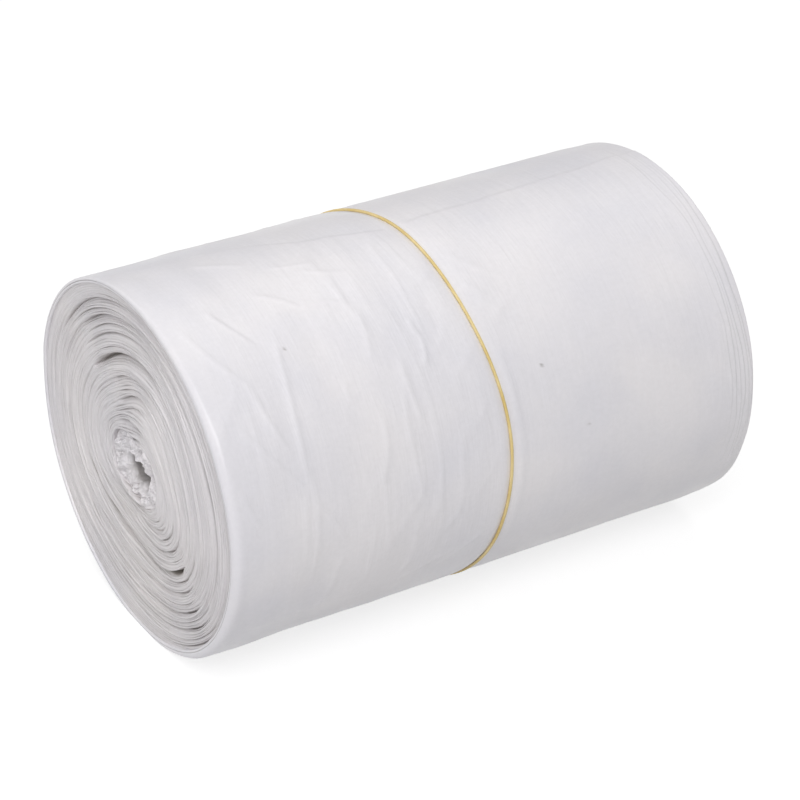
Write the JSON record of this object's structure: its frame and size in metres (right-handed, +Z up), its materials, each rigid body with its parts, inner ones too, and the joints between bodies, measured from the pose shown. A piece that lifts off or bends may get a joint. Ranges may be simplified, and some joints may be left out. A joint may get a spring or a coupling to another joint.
{
  "type": "bin bag roll",
  "caption": "Coreless roll of thin white plastic bin bags, lying on its side and held shut by a thin rubber band.",
  "frame": {"origin": "middle of the flat face that the roll rests on", "axes": "+X along the roll, from the end with the standing rim to the domed end; +Z up, away from the resting face"},
  "size_m": [0.164, 0.1108, 0.1011],
  "materials": {
    "white_film": "satin, slightly translucent white polyethylene film",
    "yellow_rubber": "matt amber rubber"
  },
  "bodies": {
    "root": {"bag_roll": "white_film", "rubber_band": "yellow_rubber"}
  },
  "joints": []
}
